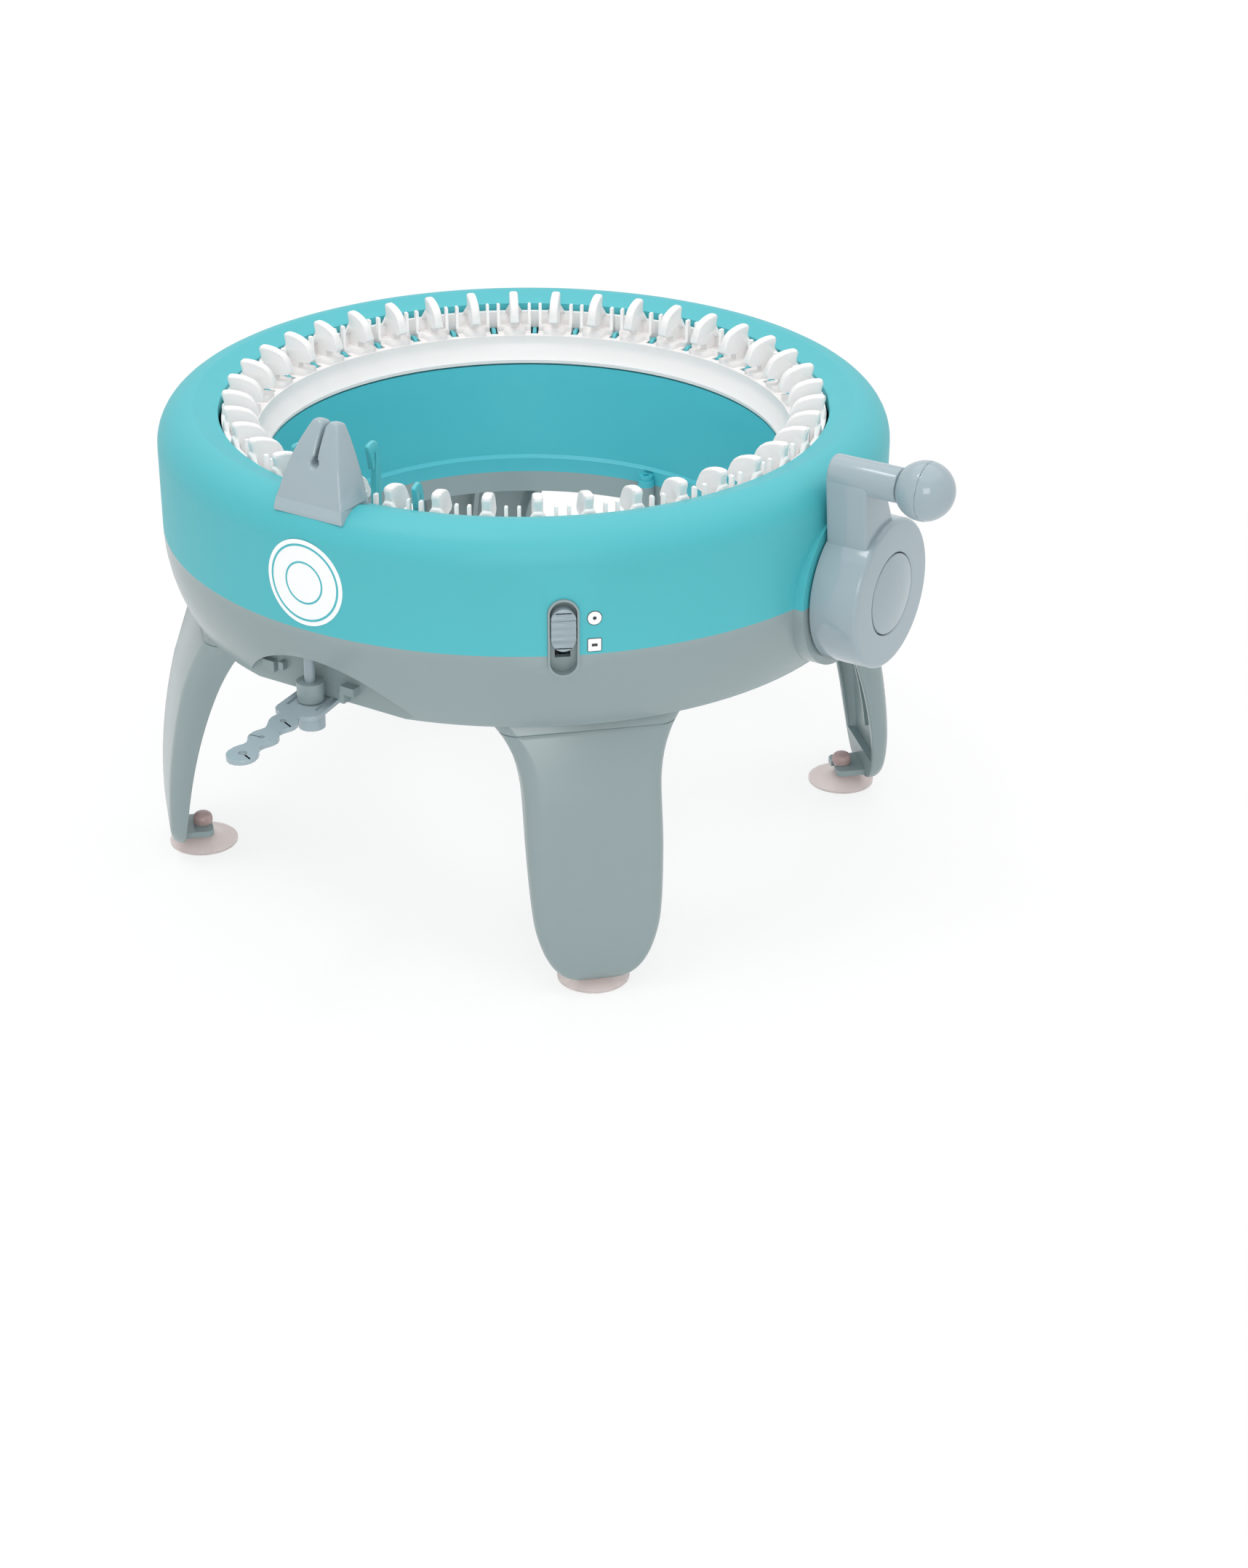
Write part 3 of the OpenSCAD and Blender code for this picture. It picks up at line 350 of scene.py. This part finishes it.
def tongue_outline():
    """The cup's tongue from above, with the slot that its neck slides into."""
    back, front, half, neck = CUP_MID_R - 3.0, LEG_OUT_R - 3.2, 6.5, 2.35
    slot = neck * 0.8
    eye = [(CUP_MID_R + neck * math.cos(a), neck * math.sin(a))
           for a in (math.radians(d) for d in range(-126, 127, 21))]
    corner = 1.2
    return ([(back, -slot)] + eye
            + [(back, slot), (back, half - corner), (back + corner, half), (front, half),
               (front, -half), (back + corner, -half), (back, -half + corner)])


FLOOR_Z, ROOF_Z, SEAM_Z = LEG_BOTTOM + 9.5, LEG_TOP - 3.0, LEG_TOP - 3.1
LEG_LEVELS = sorted([LEG_BOTTOM + 15 * (k / 14) ** 2 for k in range(15)]
                    + [20 + 2.6 * k for k in range(23)]
                    + [78.4, 79.6, SEAM_Z - 0.35, SEAM_Z, SEAM_Z + 0.35, 82.4, LEG_TOP])
for side, degrees in LEG_AZ.items():
    az = math.radians(degrees)
    c, sn = math.cos(az), math.sin(az)

    def place(o, s, z):
        return Vector((o * c - s * sn, o * sn + s * c, z)) * MM

    levels = []
    for z in LEG_LEVELS:
        groove = SEAM_DEEP if z == SEAM_Z else 0.0
        hollow = FLOOR_Z < z < ROOF_Z
        if levels and hollow != levels[-1][2]:
            flat = FLOOR_Z if hollow else ROOF_Z
            levels.append((flat, channel(flat, not hollow, 0), not hollow))
            levels.append((flat + 0.01, channel(flat, hollow, 0), hollow))
        levels.append((z, channel(z, hollow, groove), hollow))
    bm = bmesh.new()
    loft(bm, [(z, points) for z, points, _ in levels], place)
    shin = [(leg_outer(z) - LEG_WALL + 0.3, z) for z in RIB_HEIGHTS]
    web = [(leg_inner(z) + 2.5, z) for z in RIB_HEIGHTS]
    prism(bm, shin + web[::-1], -RIB_HALF, RIB_HALF, lambda o, z, s: place(o, s, z))
    prism(bm, tongue_outline(), TONGUE_LOW, TONGUE_HIGH, place)
    bmesh.ops.recalc_face_normals(bm, faces=bm.faces)
    finish_mesh(bm, "leg_%s_piece" % side, GREY, "frame", "leg_" + side, smooth=38)


# Crank: turned hub, tapering arm with round edges and a turned handle, leaning as at rest
CRANK_LEAN, CRANK_THROW = math.radians(16), 41.3
HUB_BACK, HUB_FACE, HUB_R, HUB_EDGE = 114.8, 130.3, 23.0, 1.5
CAP_R, CAP_T = 12.75, 2.6
ARM_FRONT, HANDLE_R, HANDLE_END = 128.3, 5.2, 137.1
ARM_ROOT, ARM_STEPS, ARM_EDGE = 10, 12, 1.1
ARM_WIDE, ARM_WIDE_AT, ARM_FLARE, ARM_FLARE_TO = 10.25, 11.5, 1.2, 16


def crank_place(out, across, along):
    """A point given along the shaft, across the arm and along the arm."""
    side = across * math.cos(CRANK_LEAN) - along * math.sin(CRANK_LEAN)
    up = across * math.sin(CRANK_LEAN) + along * math.cos(CRANK_LEAN)
    c, sn = math.cos(CRANK_AZ), math.sin(CRANK_AZ)
    return Vector((out * c - side * sn, out * sn + side * c, CRANK_Z / MM + up)) * MM


def turned(bm, profile, centre, sides=72):
    """A solid of revolution about a line along the shaft: profile is (out, radius)."""
    angles = [k * math.tau / sides for k in range(sides)]
    levels = [(out, [(r * math.cos(a), centre + r * math.sin(a)) for a in angles])
              for out, r in profile]
    loft(bm, levels, lambda across, along, out: crank_place(out, across, along))


def quarter(out, r, size, start, steps=5):
    """Points of a rounded edge: start 0 rises from the back, 1 falls at the front."""
    turns = [math.pi / 2 * k / steps for k in range(steps + 1)]
    if start == 0:
        return [(out + size - size * math.cos(t), r - size + size * math.sin(t)) for t in turns]
    return [(out - size + size * math.sin(t), r - size + size * math.cos(t)) for t in turns]


bm = bmesh.new()
hub = quarter(HUB_BACK, HUB_R, 0.5, 0, 2) + quarter(HUB_FACE, HUB_R, HUB_EDGE, 1, 8)
hub += [(HUB_FACE, CAP_R + 0.3), (HUB_FACE - 0.25, CAP_R), (HUB_FACE - CAP_T, CAP_R)]
turned(bm, hub, 0, 96)
handle = quarter(HUB_BACK + 0.35, HANDLE_R, 1.0, 0) + quarter(HANDLE_END, HANDLE_R, 0.5, 1, 3)
turned(bm, handle, CRANK_THROW)
sections = []
for k in range(ARM_STEPS + 1):
    along = ARM_ROOT + (CRANK_THROW - ARM_ROOT) * k / ARM_STEPS
    half = (ARM_WIDE + (HANDLE_R + 0.05 - ARM_WIDE) * (along - ARM_WIDE_AT)
            / (CRANK_THROW - ARM_WIDE_AT))
    front = ARM_FRONT + ARM_FLARE * max(0, (ARM_FLARE_TO - along) / ARM_FLARE_TO)
    near, rear, side = front - ARM_EDGE, HUB_BACK + 0.1 + ARM_EDGE, half - ARM_EDGE
    ring = []
    for first, (cx, cy) in enumerate(((near, side), (rear, side), (rear, -side), (near, -side))):
        for j in range(6):
            t = math.pi / 2 * (first + j / 5)
            ring.append((cx + ARM_EDGE * math.cos(t), cy + ARM_EDGE * math.sin(t)))
    sections.append((along, ring))
loft(bm, sections, crank_place)
bmesh.ops.recalc_face_normals(bm, faces=bm.faces)
finish_mesh(bm, "crank_piece", PALE, "crank", "crank_handle", smooth=38)

# Cap: a disc let into the hub, with a low dome for its face
CAP_FACE, DISC_R, RIM, DOME_H = HUB_FACE + 0.1, 12.35, 0.3, 1.2
bm = bmesh.new()
shares = [k / 16 for k in range(1, 16)]
dome = [(CAP_FACE + DOME_H * (1 - (1 - k) ** 2), (DISC_R - RIM) * (1 - k)) for k in shares]
turned(bm, [(HUB_FACE - CAP_T, DISC_R)] + quarter(CAP_FACE, DISC_R, RIM, 1, 3) + dome, 0, 96)
bmesh.ops.recalc_face_normals(bm, faces=bm.faces)
finish_mesh(bm, "crank_cap_piece", PALE, "crank", "crank_cap", smooth=38)


KNOB_SPLIT = 145.3 * MM


def at_split(mid, e):
    """Whether an edge lies where the knob's halves meet."""
    return all(abs(local(v.co, CRANK_AZ)[0] - KNOB_SPLIT) < 0.05 * MM for v in e.verts)


def above_foot(mid, e):
    """Whether an edge of the feeder stands clear of its foot on the lip."""
    return min(v.co.z for v in e.verts) > LIP_Z + 2.8 * MM or mid.z > LIP_Z + 4 * MM


for name in ("knob_back", "knob_front"):
    rounded(name, PALE, [(0.22, 2, 50, at_split)])
rounded("yarn_feeder", PALE, [(0.9, 3, 35, above_foot)])

# Tension arm: a thin plate with two cuts beside the boss, then three lobes with keyhole slits
PIVOT_AZ, PIVOT_R, ARM_LOW, ARM_HIGH = math.radians(-137.4), 107.85, 82.2, 83.65
ARM_TURN, ARM_SOFT, SLIT = math.radians(9.0), 0.14, 0.42
BOSS_CUT, CUT_BACK, CUT_FRONT, BORE_R = 4.85, -6.5, 5.2, 1.72


def keyhole(mouth, hole, r):
    """A slit from the edge to a round hole, as points on an outline's way round."""
    mx, my = mouth[0] - hole[0], mouth[1] - hole[1]
    toward = math.atan2(my, mx)
    size = math.hypot(mx, my)
    px, py = -my / size * SLIT, mx / size * SLIT
    gap = math.asin(SLIT / r)
    turns = [toward + gap + (math.tau - 2 * gap) * k / 10 for k in range(11)]
    return ([(mouth[0] - px, mouth[1] - py)]
            + [(hole[0] + r * math.cos(t), hole[1] + r * math.sin(t)) for t in reversed(turns)]
            + [(mouth[0] + px, mouth[1] + py)])


def closed(points, curve):
    """Adds a closed outline to a curve."""
    line = curve.splines.new("POLY")
    line.points.add(len(points) - 1)
    for point, (x, y) in zip(line.points, points):
        point.co = (x * MM, y * MM, 0, 1)
    line.use_cyclic_u = True


far_side = [(-9.5, -5.6), (-9.1, -6.6), (-8.1, -7.0), (7.0, -7.3), (8.6, -7.0), (9.7, -6.2),
            (10.3, -5.0), (10.8, -4.0), (11.4, -3.8), (12.8, -4.3), (14.6, -4.6), (16.4, -4.4),
            (18.0, -3.8), (19.6, -3.1), (21.2, -2.7), (22.6, -3.2), (24.0, -4.0), (25.4, -4.4)]
far_slit = keyhole((27.3, -4.4), (27.0, -0.3), 1.1)
far_end = [(28.6, -4.1), (30.0, -3.2), (31.6, -2.6), (33.0, -2.8), (34.4, -3.6), (35.8, -4.2),
           (38.4, -4.5), (40.2, -4.1), (42.2, -2.6), (43.2, -1.0), (43.3, 0.8), (42.8, 2.2),
           (41.9, 3.4)]
near_slit = keyhole((40.4, 4.3), (38.0, 0.2), 1.5)
near_side = [(38.8, 4.7), (36.6, 4.5), (35.0, 3.9), (33.6, 2.9), (32.2, 2.5), (30.8, 2.8),
             (29.4, 3.6), (27.8, 4.3), (26.0, 4.6), (24.4, 4.1), (23.0, 3.0), (21.6, 2.5),
             (20.2, 2.9), (19.2, 3.4)]
root_slit = keyhole((17.9, 4.1), (15.4, -0.2), 1.1)
near_root = [(16.6, 4.5), (14.8, 4.4), (13.4, 3.8), (12.2, 3.0), (11.2, 2.7), (10.5, 3.4),
             (10.2, 5.0), (9.6, 6.2), (8.5, 7.0), (7.0, 7.3), (-8.1, 7.0), (-9.1, 6.6),
             (-9.5, 5.6)]
curve = bpy.data.curves.new("arm_curve", "CURVE")
curve.dimensions, curve.fill_mode = "2D", "BOTH"
curve.extrude = (ARM_HIGH - ARM_LOW) / 2 * MM - ARM_SOFT * MM
curve.bevel_depth, curve.bevel_resolution, curve.offset = ARM_SOFT * MM, 1, -ARM_SOFT * MM
outline = far_side + far_slit[::-1] + far_end + near_slit[::-1] + near_side
closed(outline + root_slit[::-1] + near_root, curve)
for sign in (-1, 1):
    low, high = sign * BOSS_CUT - SLIT, sign * BOSS_CUT + SLIT
    closed([(CUT_BACK, low), (CUT_FRONT, low), (CUT_FRONT, high), (CUT_BACK, high)], curve)
turns = [k * math.tau / 32 for k in range(32)]
closed([(BORE_R * math.cos(t), BORE_R * math.sin(t)) for t in turns], curve)
drawn = bpy.data.objects.new("arm_drawn", curve)
bm = bmesh.new()
bm.from_mesh(drawn.to_mesh())
bpy.data.objects.remove(drawn)
bpy.data.curves.remove(curve)
pivot = Matrix.Translation((PIVOT_R * math.cos(PIVOT_AZ) * MM, PIVOT_R * math.sin(PIVOT_AZ) * MM,
                            (ARM_LOW + ARM_HIGH) / 2 * MM))
bmesh.ops.remove_doubles(bm, verts=bm.verts, dist=2e-6)
bm.transform(pivot @ Matrix.Rotation(PIVOT_AZ + ARM_TURN, 4, "Z"))
finish_mesh(bm, "tension_arm_piece", PALE, nodes["tension_arm"]["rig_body"], "tension_arm",
            smooth=15)

# Edges rounded on copies of the solids
rounded("selector_button", PALE,
        [(0.35, 2, 40, lambda mid, e: local(mid, SELECTOR_AZ)[0] > BODY_R)])


def by_fin(mid):
    """Whether a point of the ring's upper part lies at a fin rather than at a prong."""
    turn = math.atan2(mid.y, mid.x) / PITCH
    return abs(turn - round(turn)) < 0.22


rounded("needle_ring", WHITE, [
    (0.8, 3, 40, lambda mid, e: mid.z > DECK_Z + 4.6 * MM and by_fin(mid)),
    (0.35, 2, 40, lambda mid, e: mid.z > DECK_Z + 4.6 * MM and not by_fin(mid))])
for name in ["needle_set"] + ["raised_needle_%d" % k for k in range(1, 5)]:
    rounded(name, NEEDLE, [(0.25, 2, 40, lambda mid, e: mid.z > DECK_Z - 9 * MM)])
rounded("marker_needle", MAROON, [(0.25, 2, 40, None)])


def on_wall(bm, az, z, radius):
    """Wraps a flat figure, drawn as across and up in metres, onto the drum's wall."""
    for v in bm.verts:
        across, up, out = v.co.x, v.co.y, v.co.z
        a = az + across / radius
        v.co = Vector(((radius + out) * math.cos(a), (radius + out) * math.sin(a), z + up))


def ring_figure(bm, r0, r1, thick, sides=64, centre=(0, 0), lift=0.0):
    """A flat ring, or a disc where the inner radius is nothing, with a domed edge."""
    loops = []
    if r0 > 0:
        inner = [(r0, 0), (r0 + thick * 0.5, thick)]
    else:
        inner = [(r1 * k / 6, thick) for k in range(1, 6)]
    steps = inner + [(r1 - thick * 0.5, thick), (r1, 0)]
    for r, h in steps:
        loops.append([bm.verts.new((centre[0] + r * math.cos(t * math.tau / sides),
                                    centre[1] + r * math.sin(t * math.tau / sides), h + lift))
                      for t in range(sides)])
    for a, b in zip(loops, loops[1:]):
        for k in range(sides):
            bm.faces.new((a[k], b[k], b[(k + 1) % sides], a[(k + 1) % sides]))
    if r0 <= 0:
        bm.faces.new(loops[0])


def plate_figure(bm, half, corner, thick, centre, lift):
    """A flat square with round corners."""
    rim = []
    flat = half - corner
    for first, (sx, sy) in enumerate(((1, 1), (-1, 1), (-1, -1), (1, -1))):
        for k in range(5):
            t = math.pi / 2 * (first + k / 4)
            rim.append((sx * flat + corner * math.cos(t), sy * flat + corner * math.sin(t)))
    foot = [bm.verts.new((centre[0] + x, centre[1] + y, lift)) for x, y in rim]
    top = [bm.verts.new((centre[0] + x * 0.98, centre[1] + y * 0.98, lift + thick)) for x, y in rim]
    for k in range(len(rim)):
        j = (k + 1) % len(rim)
        bm.faces.new((foot[k], foot[j], top[j], top[k]))
    bm.faces.new(top)


# Round badge on the wall, plain but for two rings
SKIN, INK, BADGE_T = 0.02 * MM, 0.06 * MM, 0.12 * MM
BADGE_R, BADGE_Z = 13.2 * MM, 124.6 * MM
OVER = SKIN + BADGE_T
bm = bmesh.new()
ring_figure(bm, 0, BADGE_R, BADGE_T, lift=SKIN)
on_wall(bm, BADGE_AZ, BADGE_Z, BODY_R)
finish_mesh(bm, "roundel", BADGE, "frame")
bm = bmesh.new()
for inner, outer in ((11.2, 11.9), (6.0, 6.6)):
    ring_figure(bm, inner * MM, outer * MM, INK, lift=OVER)
on_wall(bm, BADGE_AZ, BADGE_Z, BODY_R)
finish_mesh(bm, "roundel_rings", TEAL, "frame")

# Plain position marks beside the selector: a round one and a square one
MARK_ACROSS, SELECTOR_Z = 8.9 * MM, 115.25 * MM
ROUND_AT, SQUARE_AT = (MARK_ACROSS, 5.6 * MM), (MARK_ACROSS, -2.7 * MM)
DOT_R, DASH_HALF = 0.55 * MM, 0.42 * MM
layers = (("marks_edge", DARK, 0.22 * MM, SKIN), ("marks_face", BADGE, 0.0, SKIN + INK))
for name, mat, grow, lift in layers:
    bm = bmesh.new()
    ring_figure(bm, 0, 2.0 * MM + grow, INK, sides=40, centre=ROUND_AT, lift=lift)
    plate_figure(bm, 1.9 * MM + grow, 0.25 * MM + grow, INK, SQUARE_AT, lift)
    on_wall(bm, SELECTOR_AZ, SELECTOR_Z, BODY_R)
    finish_mesh(bm, name, mat, "frame")
bm = bmesh.new()
ring_figure(bm, 0, DOT_R, INK, sides=24, centre=ROUND_AT, lift=OVER)
for k in (-1, 1):
    middle = (MARK_ACROSS + k * DASH_HALF, SQUARE_AT[1])
    plate_figure(bm, DASH_HALF, 0.1 * MM, INK, middle, OVER)
on_wall(bm, SELECTOR_AZ, SELECTOR_Z, BODY_R)
finish_mesh(bm, "marks_dot", DARK, "frame")


def straight_view(n, l):
    """One for a ray that shows the background: straight, by a reflection or through rubber."""
    path = n.new("ShaderNodeLightPath")
    found = path.outputs["Is Camera Ray"]
    for kind in ("Is Glossy Ray", "Is Transmission Ray"):
        either = n.new("ShaderNodeMath")
        either.operation = "MAXIMUM"
        l.new(found, either.inputs[0])
        l.new(path.outputs[kind], either.inputs[1])
        found = either.outputs["Value"]
    return either


# Floor, backdrop light and lamps
FLOOR_HALF, FLOOR_DROP = 6, -0.0002
floor_mesh = bpy.data.meshes.new("floor")
corners = [(x * FLOOR_HALF, y * FLOOR_HALF, FLOOR_DROP)
           for x, y in ((-1, -1), (1, -1), (1, 1), (-1, 1))]
floor_mesh.from_pydata(corners, [], [(0, 1, 2, 3)])
floor = bpy.data.objects.new("floor", floor_mesh)
bpy.context.scene.collection.objects.link(floor)
floor_mat = plastic("floor_paper", srgb(250, 250, 250), rough=0.85, vary=0.004, grain=0.01)
n, l = floor_mat.node_tree.nodes, floor_mat.node_tree.links
direct = straight_view(n, l)
spot = n.new("ShaderNodeTexCoord")
far = n.new("ShaderNodeVectorMath")
far.operation = "LENGTH"
l.new(spot.outputs["Object"], far.inputs[0])
fade = n.new("ShaderNodeMapRange")
fade.inputs["From Min"].default_value = 0.10
fade.inputs["From Max"].default_value = 0.40
fade.inputs["To Min"].default_value = 0.72
fade.inputs["To Max"].default_value = 1.0
l.new(far.outputs["Value"], fade.inputs["Value"])
share = n.new("ShaderNodeMath")
share.operation = "MULTIPLY"
l.new(direct.outputs["Value"], share.inputs[0])
l.new(fade.outputs["Result"], share.inputs[1])
glow = n.new("ShaderNodeEmission")
glow.inputs["Strength"].default_value = 1.0
mixed = n.new("ShaderNodeMixShader")
l.new(share.outputs["Value"], mixed.inputs[0])
l.new(n["Principled BSDF"].outputs["BSDF"], mixed.inputs[1])
l.new(glow.outputs["Emission"], mixed.inputs[2])
l.new(mixed.outputs["Shader"], n["Material Output"].inputs["Surface"])
floor_mesh.materials.append(floor_mat)

world = bpy.data.worlds.new("studio")
bpy.context.scene.world = world
world.use_nodes = True
n, l = world.node_tree.nodes, world.node_tree.links
background = n["Background"]
seen = straight_view(n, l)
ray = n.new("ShaderNodeTexCoord")
axes = n.new("ShaderNodeSeparateXYZ")
l.new(ray.outputs["Generated"], axes.inputs["Vector"])
sky = n.new("ShaderNodeMapRange")
sky.inputs["From Min"].default_value = 0.0
sky.inputs["From Max"].default_value = 0.5
sky.inputs["To Min"].default_value = 0.35
sky.inputs["To Max"].default_value = 0.75
l.new(axes.outputs["Z"], sky.inputs["Value"])
level = n.new("ShaderNodeMapRange")
level.inputs["To Max"].default_value = 1.0
l.new(sky.outputs["Result"], level.inputs["To Min"])
l.new(seen.outputs["Value"], level.inputs["Value"])
l.new(level.outputs["Result"], background.inputs["Strength"])
background.inputs["Color"].default_value = (1, 1, 1, 1)


def lamp(name, place, aim, size, power):
    """A flat rectangular lamp, turned to a point."""
    data = bpy.data.lights.new(name, "AREA")
    data.shape = "RECTANGLE"
    data.size, data.size_y = size
    data.energy = power
    ob = bpy.data.objects.new(name, data)
    bpy.context.scene.collection.objects.link(ob)
    ob.location = place
    ob.rotation_mode = "QUATERNION"
    ob.rotation_quaternion = (Vector(aim) - Vector(place)).to_track_quat("-Z", "Y")
    return ob


lamp("ceiling", (0.1, 0.1, 1.5), (0, 0, 0.1), (2.4, 2.2), 12.6)
lamp("overhead", (-0.4, -0.1, 1.3), (0, 0, 0.1), (0.34, 0.26), 2.0)
lamp("front", (-0.25, -1.35, 0.65), (0, 0, 0.1), (0.6, 0.5), 4.0)

# Camera at the photograph's place
camera_data = bpy.data.cameras.new("camera")
camera_data.sensor_width = 36.0
camera_data.lens = 66.017
camera = bpy.data.objects.new("camera", camera_data)
bpy.context.scene.collection.objects.link(camera)
forward = Vector((0.203050, 0.861353, -0.465663)).normalized()
up = Vector((0.100573, 0.454708, 0.884944))
right = forward.cross(up).normalized()
up = right.cross(forward)
turn = Matrix((right, up, -forward)).transposed().to_4x4()
camera.matrix_world = Matrix.Translation((-0.163951, -0.833875, 0.456266)) @ turn
camera_data.clip_start, camera_data.clip_end = 0.05, 20.0
bpy.context.scene.camera = camera
bpy.context.scene.view_settings.view_transform = "Standard"
